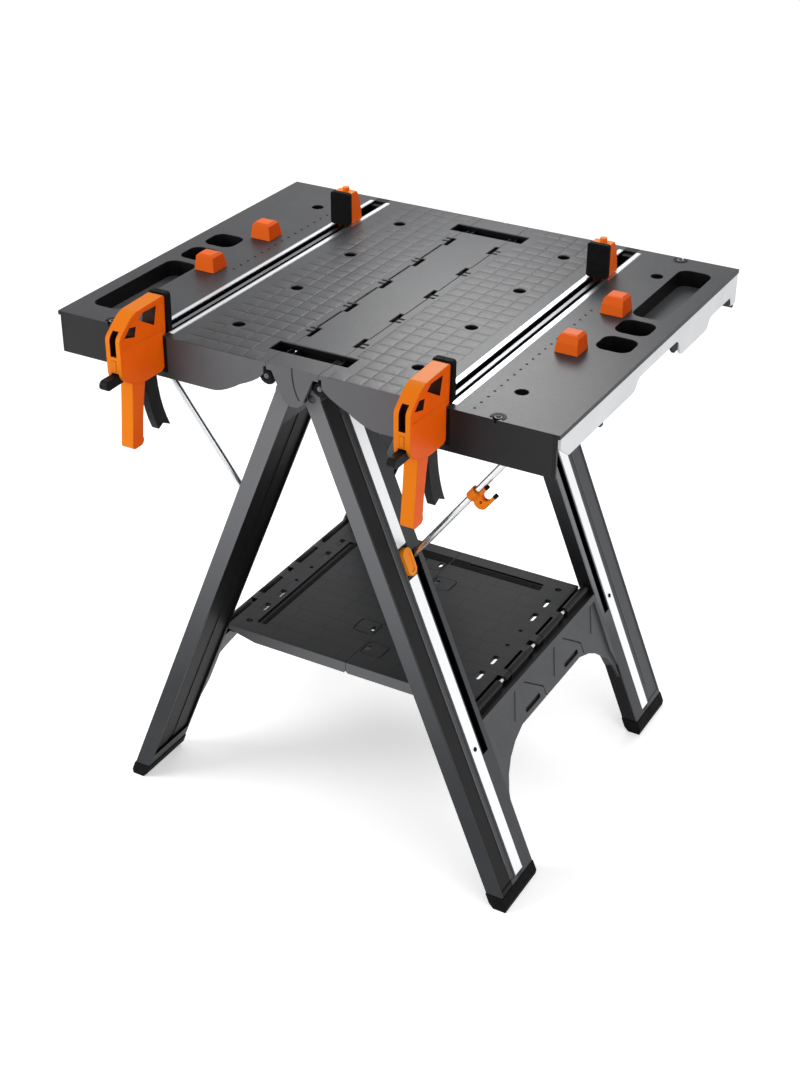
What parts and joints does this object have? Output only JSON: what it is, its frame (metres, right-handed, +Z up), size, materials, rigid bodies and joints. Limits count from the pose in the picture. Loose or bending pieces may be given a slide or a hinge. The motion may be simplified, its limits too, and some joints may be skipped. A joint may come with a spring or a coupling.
{
  "type": "folding workbench",
  "caption": "Folding A-frame workbench: two drop-leaf tops with clamp rails, pistol-grip clamps, bench dogs, trays, spreading legs with lock buttons and a folding shelf.",
  "frame": {"origin": "on the floor, under the middle of the bounding box, clamps included", "axes": "+X to the right along the long side, +Y from the clamp side to the back, +Z up"},
  "size_m": [0.787, 0.758, 0.874],
  "materials": {
    "top_plastic": "moulded, satin",
    "dark_plastic": "moulded, satin",
    "leg_plastic": "moulded, satin",
    "pale_plastic": "moulded, satin",
    "orange_plastic": "semi-gloss",
    "black_plastic": "fine texture",
    "rubber": "matt",
    "bright_aluminium": "brushed",
    "steel": "bright plated"
  },
  "bodies": {
    "spine": {"centre_beam": "top_plastic", "left_hinge_pin": "steel", "right_hinge_pin": "steel", "left_leg_pin": "steel", "right_leg_pin": "steel"},
    "right_top": {"right_panel": "top_plastic", "right_rail": "bright_aluminium", "right_rail_cap": "black_plastic", "right_apron": "pale_plastic", "right_clamp_body": "orange_plastic", "right_front_pad": "rubber"},
    "right_bar": {"right_clamp_bar": "steel", "right_bar_stop": "orange_plastic", "right_tail_jaw": "orange_plastic", "right_tail_pad": "rubber"},
    "right_trigger": {"right_trigger": "black_plastic"},
    "right_release_lever": {"right_release_lever": "black_plastic"},
    "right_legs": {"front_right_leg": "leg_plastic", "back_right_leg": "leg_plastic", "right_cross_panel": "dark_plastic", "front_right_upper_stripe": "bright_aluminium", "front_right_lower_stripe": "bright_aluminium", "back_right_stripe": "bright_aluminium", "front_right_foot": "rubber", "back_right_foot": "rubber", "shelf_side_pin": "steel"},
    "right_lock_button": {"front_right_lock_button": "orange_plastic"},
    "right_brace": {"right_brace": "steel", "right_cord_hook": "orange_plastic"},
    "right_shelf": {"right_shelf": "dark_plastic", "shelf_middle_pin": "steel"},
    "front_right_dog": {"front_right_dog": "orange_plastic"},
    "back_right_dog": {"back_right_dog": "orange_plastic"},
    "left_top": {"left_panel": "top_plastic", "left_rail": "bright_aluminium", "left_rail_cap": "black_plastic", "left_apron": "pale_plastic", "left_clamp_body": "orange_plastic", "left_front_pad": "rubber"},
    "left_bar": {"left_clamp_bar": "steel", "left_bar_stop": "orange_plastic", "left_tail_jaw": "orange_plastic", "left_tail_pad": "rubber"},
    "left_trigger": {"left_trigger": "black_plastic"},
    "left_release_lever": {"left_release_lever": "black_plastic"},
    "left_legs": {"front_left_leg": "leg_plastic", "back_left_leg": "leg_plastic", "left_cross_panel": "dark_plastic", "front_left_upper_stripe": "bright_aluminium", "front_left_lower_stripe": "bright_aluminium", "back_left_stripe": "bright_aluminium", "front_left_foot": "rubber", "back_left_foot": "rubber"},
    "left_lock_button": {"front_left_lock_button": "orange_plastic"},
    "left_brace": {"left_brace": "steel"},
    "left_shelf": {"left_shelf": "dark_plastic"},
    "front_left_dog": {"front_left_dog": "orange_plastic"},
    "back_left_dog": {"back_left_dog": "orange_plastic"}
  },
  "joints": [
    {"name": "right_leg_fold", "type": "hinge", "parent": "spine", "child": "right_legs", "pos_m": [0.022, 0.0615, 0.768], "axis": [0, 1, 0], "range_deg": [0, 21.92]},
    {"name": "left_leg_fold", "type": "hinge", "parent": "spine", "child": "left_legs", "pos_m": [-0.022, 0.0615, 0.768], "axis": [0, 1, 0], "range_deg": [-21.94, 0]},
    {"name": "right_top_fold", "type": "hinge", "parent": "spine", "child": "right_top", "pos_m": [0.042, 0.0615, 0.792], "axis": [0, 1, 0], "range_deg": [0, 60.02]},
    {"name": "right_brace_fold", "type": "hinge", "parent": "right_top", "child": "right_brace", "pos_m": [0.326, 0.0615, 0.77], "axis": [0, 1, 0], "range_deg": [-71.82, 0]},
    {"name": "left_top_fold", "type": "hinge", "parent": "spine", "child": "left_top", "pos_m": [-0.042, 0.0615, 0.792], "axis": [0, 1, 0], "range_deg": [-60.02, 0]},
    {"name": "left_brace_fold", "type": "hinge", "parent": "left_top", "child": "left_brace", "pos_m": [-0.326, 0.0615, 0.77], "axis": [0, 1, 0], "range_deg": [0, 71.82]},
    {"name": "right_shelf_fold", "type": "hinge", "parent": "right_legs", "child": "right_shelf", "pos_m": [0.22639, 0.0615, 0.26], "axis": [0, 1, 0], "range_deg": [0, 65.89]},
    {"name": "left_shelf_fold", "type": "hinge", "parent": "right_shelf", "child": "left_shelf", "pos_m": [0, 0.0615, 0.24675], "axis": [0, 1, 0], "range_deg": [-175.59, 0]},
    {"name": "right_jaw_slide", "type": "slide", "parent": "right_top", "child": "right_bar", "axis": [0, -1, 0], "range_m": [-0.07, 0.45]},
    {"name": "right_trigger_pull", "type": "hinge", "parent": "right_top", "child": "right_trigger", "pos_m": [0.222, -0.2805, 0.768], "axis": [-1, 0, 0], "range_deg": [0, 12], "stiffness_Nm_per_rad": 2, "springref_deg": -8.59},
    {"name": "right_release_press", "type": "hinge", "parent": "right_top", "child": "right_release_lever", "pos_m": [0.222, -0.339, 0.784], "axis": [1, 0, 0], "range_deg": [0, 9], "stiffness_Nm_per_rad": 2, "springref_deg": -8.59},
    {"name": "right_lock_press", "type": "slide", "parent": "right_legs", "child": "right_lock_button", "axis": [-0.9277, 0, -0.3733], "range_m": [0, 0.003], "stiffness_N_per_m": 1500, "springref_m": -0.002},
    {"name": "front_right_dog_lift", "type": "slide", "parent": "right_top", "child": "front_right_dog", "axis": [0, 0, 1], "range_m": [0, 0.045]},
    {"name": "back_right_dog_lift", "type": "slide", "parent": "right_top", "child": "back_right_dog", "axis": [0, 0, 1], "range_m": [0, 0.045]},
    {"name": "left_jaw_slide", "type": "slide", "parent": "left_top", "child": "left_bar", "axis": [0, -1, 0], "range_m": [-0.07, 0.45]},
    {"name": "left_trigger_pull", "type": "hinge", "parent": "left_top", "child": "left_trigger", "pos_m": [-0.222, -0.2805, 0.768], "axis": [-1, 0, 0], "range_deg": [0, 12], "stiffness_Nm_per_rad": 2, "springref_deg": -8.59},
    {"name": "left_release_press", "type": "hinge", "parent": "left_top", "child": "left_release_lever", "pos_m": [-0.222, -0.339, 0.784], "axis": [1, 0, 0], "range_deg": [0, 9], "stiffness_Nm_per_rad": 2, "springref_deg": -8.59},
    {"name": "left_lock_press", "type": "slide", "parent": "left_legs", "child": "left_lock_button", "axis": [0.9277, 0, -0.3733], "range_m": [0, 0.003], "stiffness_N_per_m": 1500, "springref_m": -0.002},
    {"name": "front_left_dog_lift", "type": "slide", "parent": "left_top", "child": "front_left_dog", "axis": [0, 0, 1], "range_m": [0, 0.045]},
    {"name": "back_left_dog_lift", "type": "slide", "parent": "left_top", "child": "back_left_dog", "axis": [0, 0, 1], "range_m": [0, 0.045]}
  ],
  "couplings": [
    {"joint": "left_leg_fold", "follows": "right_leg_fold", "ratio": -1},
    {"joint": "right_top_fold", "follows": "right_leg_fold", "ratio": 2.7376},
    {"joint": "right_brace_fold", "follows": "right_leg_fold", "ratio": -3.276},
    {"joint": "left_top_fold", "follows": "right_leg_fold", "ratio": -2.7376},
    {"joint": "left_brace_fold", "follows": "right_leg_fold", "ratio": 3.276},
    {"joint": "right_shelf_fold", "follows": "right_leg_fold", "ratio": 3.0052},
    {"joint": "left_shelf_fold", "follows": "right_leg_fold", "ratio": -8.0104}
  ]
}
